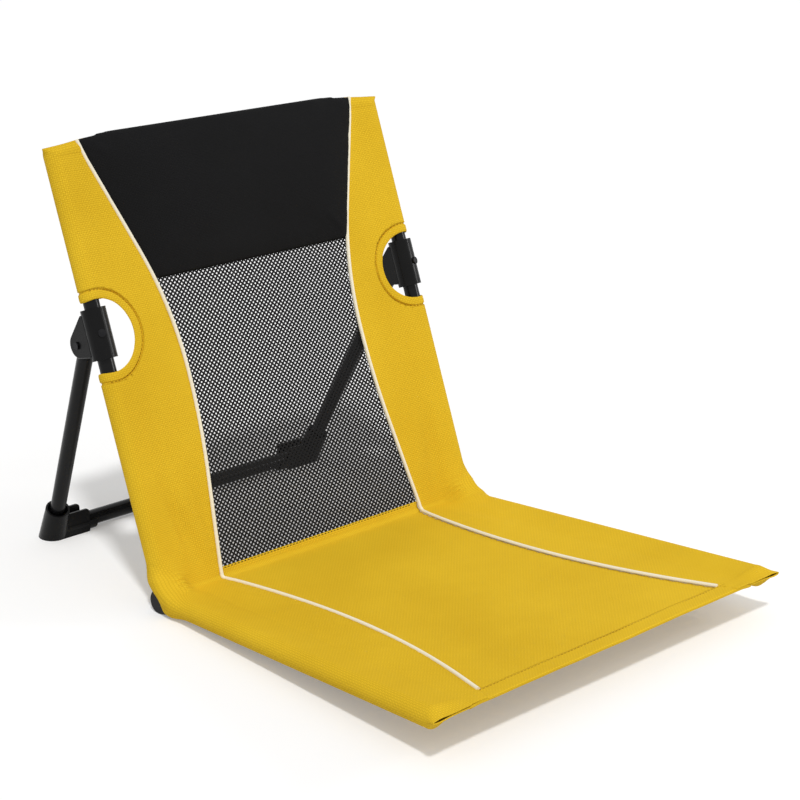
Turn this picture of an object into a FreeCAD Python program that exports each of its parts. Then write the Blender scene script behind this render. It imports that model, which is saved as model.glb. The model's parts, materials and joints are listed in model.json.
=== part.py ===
import FreeCAD, Part
import math
import os
from FreeCAD import Placement, Rotation, Vector

# Folding ground lounge chair: a tube frame under a one-piece cloth, with two rear legs.
# Millimetres. X runs across, the sitter faces -Y, Z is up. The origin is on the ground in the
# middle of the footprint. Left and right are as seen from the front.

# Whole chair
frame_width = 400.0        # between the tube axes at the corner of seat and back
seat_front_width = 432.0   # between the seat tube axes at the front edge of the cloth
seat_length = 405.0        # from the corner to the front edge of the cloth
back_length = 448.0        # from the corner to the top edge of the cloth
recline = 20.6             # degrees that the back leans from the vertical
seat_tilt = 4.0            # degrees that the seat rises towards its front
corner_height = 11.2       # of the corner, where the tube axes meet, above the ground
back_fold = 103.0          # degrees that the back folds forward from its stop
leg_fold = 42.0            # degrees that the legs fold in from their stop

# Tubes and the plugs in their ends
tube_diameter = 16.0
tube_wall = 1.0
plug_length = 22.0
plug_sides = 6
plug_fit = 0.05            # radial
cap_depth = 12.0           # of an end cap inside its tube
cap_height = 3.0
seat_tube_inset = 20.0     # from the front edge of the cloth to the tube's capped end
back_tube_inset = 6.0      # from the top edge of the cloth to the tube's capped end

# Corner hinge: a heel with two ears, a knuckle between them and a pin
hinge_offset = 9.2         # of the pivot from both tube axes, on the sitter's side
hinge_pin_radius = 2.2
pin_fit = 0.05             # radial
pin_head_radius = 3.8
pin_head_height = 1.6
knuckle_radius = 5.5
knuckle_width = 10.0
knuckle_gap = 0.4          # from the knuckle to the heel, all round
ear_radius = 6.3
ear_thickness = 4.5
heel_behind = 1.6          # heel's round centre behind the corner
heel_above = 0.1           # and above it
heel_flat_depth = 0.7      # worn off the round where it stands on the ground
neck_height = 18.0
neck_corner = 2.0
hinge_clearance = 1.4      # from the heel to the shoulder of the knuckle
shoulder_thickness = 2.0
tube_end_gap = 0.4         # from the heel's neck to the seat tube
edge_bevel = 1.0

# Leg bracket on each back tube, and the cut-out in the cloth round it
cutout_along = 262.0       # up the back from the corner
cutout_radius = 36.0
bracket_rise = 3.0         # of the bracket's middle above the cut-out's
bracket_length = 50.0
bracket_radius = 12.5
bracket_fit = 0.05         # radial
rivet_radius = 2.0
rivet_head_radius = 3.8
rivet_head_height = 1.6
rivet_turn = 20.0          # degrees outward from straight ahead
leg_pin_drop = 6.0         # below the bracket's middle
leg_pin_behind = 24.0      # behind the tube axis
leg_pin_radius = 3.0
hood_radius = 13.0
hood_half_width = 12.2
hood_corner = 4.0
hood_root = 7.0            # depth of the hood's root corners behind the tube axis
cheek_thickness = 2.7
leg_gap = 0.8              # between the leg and the hood's roof

# Legs, feet and crossbar
foot_width = 348.0         # between the leg axes on the ground
foot_reach = 237.0         # from the corner back to the leg axes on the ground
leg_neck = 16.0            # from the pin to the end of the leg tube
cup_height = 42.0          # along the leg
cup_base_radius = 14.6
cup_rim_radius = 12.6
mouth_radius = 10.6
mouth_depth = 9.0
socket_fit = 0.05          # radial
socket_floor = 9.0         # along the leg, above the ground
bar_height = 10.2          # of the crossbar axis above the ground
bar_end_inset = 9.0        # from the leg axis on the ground to the crossbar's end
bar_fit = 0.15             # radial
trough_wall = 3.0
trough_length = 47.0       # from the leg axis on the ground to the trough's lip
trough_lip = 1.5           # above the crossbar axis
cradle_length = 37.0       # of the tall side walls, from the same place
cradle_height = 26.0
cradle_width = 21.0
cradle_round = 4.0
cradle_foot_round = 2.0

# Cloth, in the plane that the sitter touches
cloth = 1.2                # thickness
cloth_plane = 4.0          # middle of the cloth before the tube axes
sleeve_fit = 0.3           # radial gap from tube to sleeve
sleeve_wall = 1.0
sleeve_seam = 32.0         # from the tube axis in to the sleeve's seam
seam_overlap = 3.0
cloth_start = 7.0          # from the corner to the first cloth on either side
sleeve_setback = 3.0       # from the end of a tube to the end of its sleeve
heel_notch = 13.0          # from the tube axis to the cloth beside the hinge
front_hem = 18.0
hem_extra = 0.4            # the front hem's extra thickness on each face
piping_radius = 2.2
piping_sides = 6
piping_lift = 1.2          # of the piping's centre before the middle of the cloth
cloth_gap = 0.3            # between neighbouring soft pieces

# Seams that carry the piping: half width at the waist, the waist's place, then radius and
# angle of the curve on either side of it
back_seam = {"half": 113.5, "waist": 210.0, "low": (737.0, 7.8), "high": (380.0, 19.5)}
seat_seam = {"half": 122.0, "waist": 150.0, "low": (967.0, 8.0), "high": (770.0, 16.0)}

# Headrest pad and net
headrest_bottom = 305.0    # up the back from the corner
headrest_rise = 4.0        # of the pad's top above the cloth's
headrest_crown = 7.0
headrest_edge = 1.6        # of the pad's rim before the cloth
headrest_wall = 1.2
pad_sections = 7
pad_fall = 0.94            # share of the crown's square lost at the pad's ends
net_bottom = 12.5          # up the back from the corner
net_pitch = 32.0
net_hole = 13.0            # half diagonal of a gap
net_border = 3.0

tube_radius = tube_diameter / 2
bore_radius = tube_radius - tube_wall
half_width = frame_width / 2
across = Vector(1, 0, 0)
hair = 1e-6                # lengths under this count as none

# Local frames, both with x across, y away from the corner and z towards the sitter. The seat's
# x runs against the chair's.
BACK = Placement(Vector(0, 0, 0), Rotation(across, 90 - recline))
SEAT = Placement(Vector(0, 0, 0),
                 Rotation(across, -seat_tilt).multiply(Rotation(Vector(0, 0, 1), 180)))

# Pivot of the back, at the same distance from both tube axes
opening_angle = 90 + recline - seat_tilt
pivot_along = hinge_offset / math.tan(math.radians(opening_angle / 2))
pivot = BACK.multVec(Vector(half_width, pivot_along, hinge_offset))

# Heel round, and the place where the tubes can start clear of it
heel_radius = heel_above + corner_height + heel_flat_depth
heel_along = BACK.inverse().multVec(Vector(0, heel_behind, heel_above)).y
hinge_reach = max(pivot_along + ear_radius, heel_along + heel_radius)
shoulder_start = hinge_reach + hinge_clearance
tube_start = shoulder_start + shoulder_thickness
sleeve_start = tube_start + sleeve_setback

# Leg pins and leg axes
bracket_middle = cutout_along + bracket_rise
pin_along = bracket_middle - leg_pin_drop
leg_pin = BACK.multVec(Vector(half_width, pin_along, -leg_pin_behind))
leg_foot = Vector(foot_width / 2, foot_reach, -corner_height)
leg_way = (leg_foot - leg_pin).normalize()
bar_level = bar_height - corner_height
bar_back = leg_foot.y - leg_way.y / leg_way.z * -bar_height
bar_half = foot_width / 2 - bar_end_inset

# Cloth levels
cloth_low = cloth_plane - cloth / 2
cloth_high = cloth_plane + cloth / 2
seam_gap = piping_radius + cloth_gap
seat_splay = (seat_front_width - frame_width) / 2 / seat_length


def placed(shape, placement):
    moved = shape.copy()
    moved.Placement = placement.multiply(moved.Placement)
    return moved


def rod(start, end, radius):
    return Part.makeCylinder(radius, (end - start).Length, start, end - start)


def tube(start, end):
    return rod(start, end, tube_radius).cut(rod(start, end, bore_radius))


def tube_plug(start, end):
    """Many-sided plug whose edges bear on the bore of a tube."""
    up = across.cross(end - start).normalize()
    side = (end - start).cross(up).normalize()
    turns = [2 * math.pi * index / plug_sides for index in range(plug_sides)]
    rim = [start + (up * math.cos(t) + side * math.sin(t)) * (bore_radius - plug_fit) for t in turns]
    return Part.Face(Part.makePolygon(rim + rim[:1])).extrude(end - start)


def block(low, high):
    size = high - low
    return Part.makeBox(size.x, size.y, size.z, low)


def side_view(a, b):
    return Vector(0, a, b)


def end_view(a, b):
    return Vector(a, 0, b)


def hull_face(discs, view):
    """Convex outline round discs (a, b, radius), made of tangent lines and arcs.

    A disc of no radius is a sharp corner."""
    links = {}
    for i, (ai, bi, ri) in enumerate(discs):
        for j, (aj, bj, rj) in enumerate(discs):
            if i == j:
                continue
            apart = math.hypot(aj - ai, bj - bi)
            normal = math.atan2(bj - bi, aj - ai) - math.acos((ri - rj) / apart)
            reaches = [a * math.cos(normal) + b * math.sin(normal) + r for a, b, r in discs]
            if reaches[i] > max(reaches) - hair:
                links[i] = (j, normal)

    def on_disc(index, angle):
        a, b, r = discs[index]
        return view(a + r * math.cos(angle), b + r * math.sin(angle))

    edges = []
    here = start = min(links)
    while not edges or here != start:
        there, normal = links[here]
        turn = (links[there][1] - normal) % (2 * math.pi)
        edges.append(Part.makeLine(on_disc(here, normal), on_disc(there, normal)))
        if discs[there][2] > 0:
            bend = [on_disc(there, normal + turn * share) for share in (0, 0.5, 1)]
            edges.append(Part.Arc(*bend).toShape())
        here = there
    return Part.Face(Part.Wire(edges))


def side_plate(discs, x, half):
    """Flat plate seen from the side, half as wide on each side of x."""
    face = hull_face(discs, side_view)
    face.translate(across * (x - half))
    return face.extrude(across * (2 * half))


def bevelled_plate(discs, x, half):
    """The same plate with its two outlines bevelled."""
    plate = side_plate(discs, x, half)
    rims = [edge for edge in plate.Edges if edge.BoundBox.XLength < hair]
    return plate.makeChamfer(edge_bevel, rims)


def headed_pin(centre, radius, half):
    """Pin along X through two cheeks, flush inside and with a flat head outside."""
    seat = centre + across * (half + cloth_gap)
    shank = rod(centre - across * half, seat, radius)
    return shank.fuse(rod(seat, seat + across * pin_head_height, pin_head_radius)).removeSplitter()


def pin_hole(centre, radius):
    reach = across * (frame_width / 4)
    return rod(centre - reach, centre + reach, radius + pin_fit)


# Back tube, knuckle and end cap, on the right
def back_axis(along):
    return Vector(half_width, along, 0)


def rivet_way():
    turn = math.radians(rivet_turn)
    return Vector(math.sin(turn), 0, math.cos(turn))


def bracket_rivet():
    seat = back_axis(bracket_middle)
    way = rivet_way()
    shank = rod(seat + way * (bore_radius - tube_wall), seat + way * bracket_radius, rivet_radius)
    top = bracket_radius + rivet_head_height
    head = rod(seat + way * bracket_radius, seat + way * top, rivet_head_radius)
    return shank.fuse(head).removeSplitter()


def rivet_hole():
    seat = back_axis(bracket_middle)
    return rod(seat, seat + rivet_way() * bracket_radius * 2, rivet_radius + pin_fit)


def back_tube():
    whole = tube(back_axis(tube_start), back_axis(back_length - back_tube_inset - cap_height))
    return whole.cut(rivet_hole())


def end_cap(tube_end, way):
    inside = tube_plug(tube_end - way * cap_depth, tube_end)
    outside = rod(tube_end, tube_end + way * cap_height, tube_radius)
    return inside.fuse(outside).removeSplitter()


def knuckle_discs(grow):
    """Outline of the knuckle's tongue in the back's frame, larger all round by grow."""
    flat = math.sqrt(tube_radius ** 2 - (knuckle_width / 2) ** 2) - knuckle_gap
    corners = [(shoulder_start, side * flat, grow) for side in (-1, 1)]
    return [(pivot_along, hinge_offset, knuckle_radius + grow)] + corners


def knuckle_room():
    """Space that the tongue sweeps in the heel while the back folds."""
    discs = []
    for share in (0, 0.5, 1):
        swing = Rotation(across, back_fold * share)
        for along, before, radius in knuckle_discs(knuckle_gap):
            place = pivot + swing.multVec(BACK.multVec(Vector(half_width, along, before)) - pivot)
            if radius == knuckle_gap or share == 0:
                discs.append((place.y, place.z, radius))
    return side_plate(discs, half_width, knuckle_width / 2 + knuckle_gap)


def back_knuckle():
    tongue = side_plate(knuckle_discs(0), half_width, knuckle_width / 2)
    shoulder = rod(back_axis(shoulder_start), back_axis(tube_start), tube_radius)
    plug = tube_plug(back_axis(tube_start), back_axis(tube_start + plug_length))
    whole = placed(tongue.fuse([shoulder, plug]).removeSplitter(), BACK)
    return whole.cut(pin_hole(pivot, hinge_pin_radius))


# Seat tube and heel, on the right
def seat_axis(along):
    return SEAT.multVec(Vector(-half_width - along * seat_splay, along, 0))


def seat_tube():
    return tube(seat_axis(tube_start + tube_end_gap),
                seat_axis(seat_length - seat_tube_inset - cap_height))


def ground_cut():
    reach = seat_length + foot_reach
    return block(Vector(-reach, -reach, -reach), Vector(reach, reach, -corner_height))


def heel():
    half = knuckle_width / 2 + knuckle_gap + ear_thickness
    neck = [SEAT.multVec(Vector(0, tube_start - neck_corner, side * (neck_height / 2 - neck_corner)))
            for side in (-1, 1)]
    discs = [(pivot.y, pivot.z, ear_radius), (heel_behind, heel_above, heel_radius)]
    discs += [(corner.y, corner.z, neck_corner) for corner in neck]
    body = bevelled_plate(discs, half_width, half).cut(knuckle_room())
    plug = tube_plug(seat_axis(tube_start - neck_corner), seat_axis(tube_start + plug_length))
    whole = body.fuse(plug).removeSplitter().cut(ground_cut())
    return whole.cut(pin_hole(pivot, hinge_pin_radius))


def heel_pin():
    return headed_pin(pivot, hinge_pin_radius, knuckle_width / 2 + knuckle_gap + ear_thickness)


# Leg bracket, on the right
def leg_bracket():
    low = bracket_middle - bracket_length / 2
    high = bracket_middle + bracket_length / 2
    sleeve = rod(back_axis(low), back_axis(high), bracket_radius)
    roots = [(end, -hood_root, hood_corner) for end in (low + 2 * hood_corner, high - 2 * hood_corner)]
    outline = [(pin_along, -leg_pin_behind, hood_radius)] + roots
    hood = bevelled_plate(outline, half_width, hood_half_width).cut(leg_room())
    whole = sleeve.fuse(hood).removeSplitter()
    whole = whole.cut(rod(back_axis(low - hood_radius), back_axis(high + hood_radius),
                          tube_radius + bracket_fit))
    whole = whole.cut(rivet_hole())
    return placed(whole, BACK).cut(pin_hole(leg_pin, leg_pin_radius))


def leg_room():
    """Space that the leg's end sweeps between the two cheeks of the hood."""
    away = 4 * hood_radius
    foot = BACK.inverse().multVec(leg_foot)
    rest = math.atan2(foot.z + leg_pin_behind, foot.y - pin_along)
    discs = [(pin_along, -leg_pin_behind, tube_radius + leg_gap)]
    for angle in (rest, rest - math.radians(leg_fold)):
        discs.append((pin_along + away * math.cos(angle),
                      away * math.sin(angle) - leg_pin_behind, tube_radius + leg_gap))
    return side_plate(discs, half_width, hood_half_width - cheek_thickness)


# Leg, foot and crossbar, on the right
def leg_point(along):
    return leg_pin + leg_way * along


leg_end = (leg_foot - leg_pin).Length - socket_floor


def leg_head():
    far = leg_point(2 * leg_neck)
    outline = side_plate([(leg_pin.y, leg_pin.z, tube_radius), (far.y, far.z, tube_radius)],
                         half_width, tube_diameter)
    bar = rod(leg_point(-tube_diameter), leg_point(leg_neck), tube_radius).common(outline)
    plug = tube_plug(leg_point(leg_neck), leg_point(leg_neck + plug_length))
    return bar.fuse(plug).cut(pin_hole(leg_pin, leg_pin_radius))


def leg_tube():
    return tube(leg_point(leg_neck), leg_point(leg_end - socket_fit))


def foot():
    rim = leg_foot - leg_way * cup_height
    below = cup_base_radius
    taper = (cup_base_radius - cup_rim_radius) / cup_height
    cup = Part.makeCone(cup_base_radius + taper * below, cup_rim_radius, cup_height + below,
                        leg_foot + leg_way * below, leg_way * -1)
    bar_wide = tube_radius + bar_fit
    trough_radius = bar_wide + trough_wall
    lip = foot_width / 2 - trough_length
    trough = rod(bar_axis(lip), bar_axis(foot_width / 2), trough_radius)
    lip_level = bar_level + trough_lip
    trough = trough.cut(block(Vector(lip - trough_wall, 0, lip_level),
                              Vector(half_width, 2 * foot_reach, lip_level + trough_radius)))
    top = cradle_height - corner_height - cradle_round
    base = cradle_foot_round - corner_height
    inner = foot_width / 2 - cradle_length
    wall = [(inner + cradle_round, top, cradle_round), (foot_width / 2, top, cradle_round),
            (foot_width / 2, base, cradle_foot_round), (inner + cradle_foot_round, base, cradle_foot_round)]
    cradle = hull_face(wall, end_view)
    cradle.translate(Vector(0, bar_back - cradle_width / 2, 0))
    cradle = cradle.extrude(Vector(0, cradle_width, 0))
    outer = cup.fuse([trough, cradle]).removeSplitter().cut(ground_cut())
    stop = bar_axis(bar_half + bar_fit)
    channel = rod(bar_axis(0), stop, bar_wide)
    above = block(Vector(0, bar_back - bar_wide, bar_level),
                  Vector(stop.x, bar_back + bar_wide, bar_level + 2 * cup_height))
    socket = rod(leg_foot - leg_way * socket_floor, rim - leg_way, tube_radius + socket_fit)
    mouth = rod(rim + leg_way * mouth_depth, rim - leg_way * cup_height, mouth_radius)
    return outer.cut([channel, above, socket, mouth])


def bar_axis(x):
    return Vector(x, bar_back, bar_level)


def crossbar_tube():
    return tube(bar_axis(-bar_half), bar_axis(bar_half))


# Seams in the plane of the cloth
def seam_point(seam, end, offset, angle):
    """Point of the seam at an angle along its low or high curve, moved outward by the offset."""
    radius = seam[end][0]
    way = 1 if end == "high" else -1
    return Vector(seam["half"] + radius - (radius - offset) * math.cos(angle),
                  seam["waist"] + way * (radius - offset) * math.sin(angle), 0)


def seam_half(seam, end, offset, limit):
    """Edges of the seam from its waist to the height called limit: an arc, then a straight."""
    radius, full = seam[end][0], math.radians(seam[end][1])
    angle = min(full, math.asin(abs(limit - seam["waist"]) / (radius - offset)))
    bend = [seam_point(seam, end, offset, angle * share) for share in (0, 0.5, 1)]
    edges = [Part.Arc(*bend).toShape()]
    left_over = limit - bend[-1].y
    if abs(left_over) > hair:
        finish = Vector(bend[-1].x + abs(left_over) * math.tan(full), limit, 0)
        edges.append(Part.makeLine(bend[-1], finish))
    return edges


def seam_edges(seam, offset, low, high):
    return seam_half(seam, "low", offset, low) + seam_half(seam, "high", offset, high)


def seam_at(seam, along):
    """Half width between the two seams at a place along the cloth."""
    end = "high" if along > seam["waist"] else "low"
    last = seam_half(seam, end, 0, along)[-1]
    return max(vertex.X for vertex in last.Vertexes)


def centre_wire(seam, offset, low, high):
    """Outline between the two seams, from one place along the cloth to another."""
    right = seam_edges(seam, offset, low, high)
    left = [edge.mirror(Vector(0, 0, 0), across) for edge in right]
    tips = [Vector(v.X, v.Y, 0) for edge in right for v in edge.Vertexes]
    closing = []
    for level in (low, high):
        tip = max((t for t in tips if abs(t.y - level) < hair), key=lambda t: t.x)
        closing.append(Part.makeLine(tip, Vector(-tip.x, tip.y, 0)))
    return Part.Wire(Part.__sortEdges__(right + left + closing))


def slab(face, low, high):
    face = face.copy()
    face.translate(Vector(0, 0, low))
    return face.extrude(Vector(0, 0, high - low))


def centre_slab(seam, offset, low, high, under, over):
    return slab(Part.Face(centre_wire(seam, offset, low, high)), under, over)


def centre_band(seam, length, low, high, under, over):
    """Cloth between the two seams, cut to the stretch from low to high."""
    whole = centre_slab(seam, -seam_gap, 0, length, under, over)
    return whole.common(block(Vector(-half_width, low, under - cloth),
                              Vector(half_width, high, over + cloth)))


def piping(seam, low, high):
    path = Part.Wire(Part.__sortEdges__(seam_edges(seam, 0, low, high)))
    path.translate(Vector(0, 0, cloth_plane + piping_lift))
    first = path.OrderedVertexes[0].Point
    start_edge = path.OrderedEdges[0]
    way = start_edge.tangentAt(start_edge.FirstParameter)
    turns = [2 * math.pi * (index + 0.5) / piping_sides for index in range(piping_sides)]
    front = Vector(0, 0, 1)
    ring = [first + (front * math.cos(t) + way.cross(front) * math.sin(t)) * piping_radius for t in turns]
    return path.makePipeShell([Part.makePolygon(ring + ring[:1])], True, False)


# Side panels with their sleeves
def sleeve_section():
    outer = [(half_width, 0, tube_radius + sleeve_fit + sleeve_wall),
             (half_width - sleeve_seam - seam_overlap, cloth_plane, cloth / 2)]
    inner = [(half_width, 0, tube_radius + sleeve_fit),
             (half_width - sleeve_seam, cloth_plane, cloth / 4)]
    return hull_face(outer, end_view), hull_face(inner, end_view)


def sleeve(low, high, splay):
    """Cloth folded round a tube and sewn to itself at the seam, drawn out along the tube."""
    outer, inner = sleeve_section()
    shape = outer.cut(inner).extrude(Vector(0, high - low, 0))
    shape.translate(Vector(0, low, 0))
    shape.rotate(Vector(half_width, 0, 0), Vector(0, 0, 1), -math.degrees(math.atan(splay)))
    return shape


def panel_sheet(low, high, splay):
    edge = half_width - sleeve_seam - seam_overlap / 2
    corners = [Vector(0, low, 0), Vector(edge + low * splay, low, 0),
               Vector(edge + high * splay, high, 0), Vector(0, high, 0), Vector(0, low, 0)]
    return slab(Part.Face(Part.makePolygon(corners)), cloth_low, cloth_high)


def hinge_flap():
    """Cloth beside the hinge, below the sleeve's end."""
    return block(Vector(half_width - sleeve_seam - 2 * seam_overlap, cloth_start, cloth_low),
                 Vector(half_width - heel_notch, sleeve_start + seam_overlap, cloth_high))


def back_side_panel():
    panel = sleeve(sleeve_start, back_length, 0)
    pocket_end = sleeve_section()[0].extrude(Vector(0, cloth, 0))
    pocket_end.translate(Vector(0, back_length - cloth, 0))
    front = Vector(0, 0, frame_width)
    at = back_axis(cutout_along)
    panel = panel.fuse([panel_sheet(cloth_start, back_length, 0), hinge_flap(), pocket_end])
    panel = panel.cut(rod(at - front, at + front, cutout_radius))
    panel = panel.cut(centre_slab(back_seam, seam_gap, 0, back_length, -frame_width, frame_width))
    return panel.removeSplitter()


def seat_side_panel():
    sheet_end = seat_length - front_hem - cloth_gap
    panel = sleeve(sleeve_start, seat_length, seat_splay)
    panel = panel.fuse([panel_sheet(cloth_start, sheet_end, seat_splay), hinge_flap()])
    panel = panel.cut(centre_slab(seat_seam, seam_gap, 0, seat_length, -frame_width, frame_width))
    return panel.removeSplitter()


def seat_front_hem():
    low = seat_length - front_hem
    edge = half_width - sleeve_seam - seam_overlap - cloth - cloth_gap
    corners = [Vector(side * (edge + along * seat_splay), along, 0)
               for side, along in ((-1, low), (1, low), (1, seat_length), (-1, seat_length), (-1, low))]
    return slab(Part.Face(Part.makePolygon(corners)), cloth_low - hem_extra, cloth_high + hem_extra)


# Headrest pad and net
def pad(inset, under):
    """Crowned cushion between the two seams, inset all round from the headrest's outline."""
    low = headrest_bottom + inset
    high = back_length + headrest_rise - inset
    rim = cloth_high + headrest_edge - inset
    sections = []
    for index in range(pad_sections):
        share = 2 * index / (pad_sections - 1) - 1
        along = (low + high) / 2 + share * (high - low) / 2
        half = seam_at(back_seam, along) - seam_gap - cloth_gap - inset
        crown = headrest_crown * math.sqrt(1 - pad_fall * share ** 2)
        rise = [Vector(half, along, rim), Vector(0, along, rim + crown), Vector(-half, along, rim)]
        corners = [rise[2], Vector(-half, along, under), Vector(half, along, under), rise[0]]
        sides = [Part.makeLine(a, b) for a, b in zip(corners, corners[1:])]
        sections.append(Part.Wire([Part.Arc(*rise).toShape()] + sides))
    return Part.makeLoft(sections, True, True)


def headrest_cover():
    return pad(0, cloth_low).cut(pad(headrest_wall, cloth_low - cloth))


def headrest_foam():
    return pad(headrest_wall + cloth_gap, cloth_low)


def headrest_lining():
    over = cloth_low - cloth_gap
    return centre_band(back_seam, back_length, headrest_bottom, back_length, over - cloth, over)


def back_lower_strip():
    return centre_band(back_seam, back_length, cloth_start, net_bottom - cloth_gap, cloth_low, cloth_high)


def mesh_panel():
    high = headrest_bottom - cloth_gap
    outline = centre_wire(back_seam, -seam_gap, net_bottom, high)
    gaps = []
    edge = net_hole + net_border
    rows = int((high - net_bottom - 2 * edge) / (net_pitch / 2)) + 1
    first = (net_bottom + high - (rows - 1) * net_pitch / 2) / 2
    for row in range(rows):
        along = first + row * net_pitch / 2
        shift = net_pitch / 2 * (row % 2)
        room = seam_at(back_seam, along) - seam_gap - edge
        count = int(room / net_pitch) + 1
        for column in range(-count, count + 1):
            x = column * net_pitch + shift
            if abs(x) > room:
                continue
            tips = [Vector(x + net_hole, along, 0), Vector(x, along + net_hole, 0),
                    Vector(x - net_hole, along, 0), Vector(x, along - net_hole, 0)]
            gaps.append(Part.makePolygon(tips + tips[:1]))
    net = Part.makeFace(Part.makeCompound([outline] + gaps), "Part::FaceMakerBullseye")
    print("net gaps", len(gaps))
    return slab(net, cloth_low, cloth_high)


pieces = {}


def add(name, shape):
    pieces[name] = shape


def mirrored(shape):
    return shape.mirror(Vector(0, 0, 0), across)


def add_pair(name, shape):
    """A piece and its mirror image, named by the side that each is on."""
    for piece in (shape, mirrored(shape)):
        side = "right" if piece.BoundBox.Center.x > 0 else "left"
        add(name + "_" + side, piece)


def add_group(name, shape):
    """Like pieces on both sides, kept as one group of separate solids."""
    add(name, Part.makeCompound([shape, mirrored(shape)]))


# Frame and hinge of the seat
add_pair("seat_tube", seat_tube())
add_group("heels", heel())
add_group("heel_pins", heel_pin())
seat_end = seat_axis(seat_length - seat_tube_inset - cap_height)
add_group("seat_tube_caps", end_cap(seat_end, (seat_end - seat_axis(0)).normalize()))

# Frame of the back, and the brackets for the legs
add_pair("back_tube", placed(back_tube(), BACK))
add_group("back_knuckles", back_knuckle())
back_end = back_axis(back_length - back_tube_inset - cap_height)
add_group("back_tube_caps", placed(end_cap(back_end, Vector(0, 1, 0)), BACK))
add_group("leg_brackets", leg_bracket())
add_group("bracket_rivets", placed(bracket_rivet(), BACK))
add_group("leg_pins", headed_pin(leg_pin, leg_pin_radius, hood_half_width))

# Legs and crossbar
add_group("leg_heads", leg_head())
add_pair("leg_tube", leg_tube())
add_group("feet", foot())
add("crossbar_tube", crossbar_tube())

# Cloth of the back
add_pair("back_side_panel", placed(back_side_panel(), BACK))
add_pair("back_piping", placed(piping(back_seam, cloth_start, back_length), BACK))
add("headrest_cover", placed(headrest_cover(), BACK))
add("headrest_foam", placed(headrest_foam(), BACK))
add("headrest_lining", placed(headrest_lining(), BACK))
add("mesh_panel", placed(mesh_panel(), BACK))
add("back_lower_strip", placed(back_lower_strip(), BACK))

# Cloth of the seat
add_pair("seat_side_panel", placed(seat_side_panel(), SEAT))
panel_end = seat_length - front_hem - cloth_gap
add_pair("seat_piping", placed(piping(seat_seam, cloth_start, panel_end - piping_radius), SEAT))
add("seat_centre_panel", placed(centre_slab(seat_seam, -seam_gap, cloth_start, panel_end, cloth_low,
                                            cloth_high), SEAT))
add("seat_front_hem", placed(seat_front_hem(), SEAT))

# The origin goes to the ground in the middle of the footprint
box = Part.makeCompound(list(pieces.values())).optimalBoundingBox(False, False)
origin = Vector(0, (box.YMin + box.YMax) / 2, -corner_height)
os.makedirs("parts", exist_ok=True)
for name, shape in pieces.items():
    shape.translate(origin * -1)
    shape.exportStep("parts/" + name + ".step")

# Places that the joints and rests of the chair are measured at
for label, place in (("back pivot", pivot), ("leg pin", leg_pin), ("foot on the ground", leg_foot),
                     ("crossbar", bar_axis(0)), ("cut-out", BACK.multVec(back_axis(cutout_along))),
                     ("heel on the ground", Vector(half_width, heel_behind, -corner_height))):
    print(label, [round(value, 3) for value in (place - origin)])
print("pieces", len(pieces), "size", [round(v, 1) for v in (box.XLength, box.YLength, box.ZLength)])
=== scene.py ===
# %% [markdown]
# Folding ground lounge chair. A tube frame wears a sewn yellow cover with a black net and a padded
# headrest, and two rear legs prop the back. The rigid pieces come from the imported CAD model, which
# is the fixed frame here. The soft pieces are modelled below, because a cloth that bends, puckers
# and hangs is what CAD solids are poor at.

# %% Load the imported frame
import json
from math import acos, atan2, cos, dist, exp, hypot, pi, radians, sin, sqrt, tan

import bmesh
import bpy
from mathutils import Matrix, Vector, noise


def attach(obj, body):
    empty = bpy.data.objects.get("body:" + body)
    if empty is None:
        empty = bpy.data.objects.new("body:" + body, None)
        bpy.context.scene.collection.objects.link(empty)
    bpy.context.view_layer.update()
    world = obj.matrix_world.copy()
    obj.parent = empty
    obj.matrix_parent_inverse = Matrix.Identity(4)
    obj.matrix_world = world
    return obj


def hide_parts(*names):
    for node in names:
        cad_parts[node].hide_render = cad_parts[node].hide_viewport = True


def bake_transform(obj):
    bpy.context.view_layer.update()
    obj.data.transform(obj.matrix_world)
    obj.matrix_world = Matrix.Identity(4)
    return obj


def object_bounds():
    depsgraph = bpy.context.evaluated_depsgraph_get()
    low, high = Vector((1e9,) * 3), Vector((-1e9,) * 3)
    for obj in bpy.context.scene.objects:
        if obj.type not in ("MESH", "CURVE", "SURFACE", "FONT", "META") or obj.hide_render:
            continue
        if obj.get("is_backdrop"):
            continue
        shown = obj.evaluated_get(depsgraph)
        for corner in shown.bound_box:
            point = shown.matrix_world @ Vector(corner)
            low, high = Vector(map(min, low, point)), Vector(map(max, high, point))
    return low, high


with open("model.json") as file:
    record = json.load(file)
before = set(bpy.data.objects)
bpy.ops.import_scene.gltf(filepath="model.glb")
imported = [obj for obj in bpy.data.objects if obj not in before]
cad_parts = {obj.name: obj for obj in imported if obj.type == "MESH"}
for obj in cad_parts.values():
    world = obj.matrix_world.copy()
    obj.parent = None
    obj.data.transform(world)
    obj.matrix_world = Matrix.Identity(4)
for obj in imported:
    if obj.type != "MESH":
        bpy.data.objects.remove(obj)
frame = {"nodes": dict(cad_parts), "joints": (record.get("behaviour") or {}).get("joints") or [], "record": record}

cad_box = [list(corner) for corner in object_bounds()]
print("nodes", len(frame["nodes"]), "CAD box", cad_box)

# %% [markdown]
# The cover follows two planes that meet at the corner of seat and back. Their place could be typed
# in, but the hinge is already in the frame, so the corner is worked out from the back's pivot and
# the two angles of the chair. Every length is in metres.

# %% Corner and planes of the chair
mm = 0.001
sides = (("left", -1), ("right", 1))
across = Vector((1, 0, 0))
recline = radians(20.6)
seat_tilt = radians(4.0)
hinge_offset = 9.2 * mm
half_width = 200.0 * mm
seat_length = 405.0 * mm
back_length = 448.0 * mm
seat_splay = 16.0 * mm / seat_length

back_up = Vector((0, sin(recline), cos(recline)))
back_front = Vector((0, -cos(recline), sin(recline)))
seat_out = Vector((0, -cos(seat_tilt), sin(seat_tilt)))
seat_top = Vector((0, sin(seat_tilt), cos(seat_tilt)))

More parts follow.
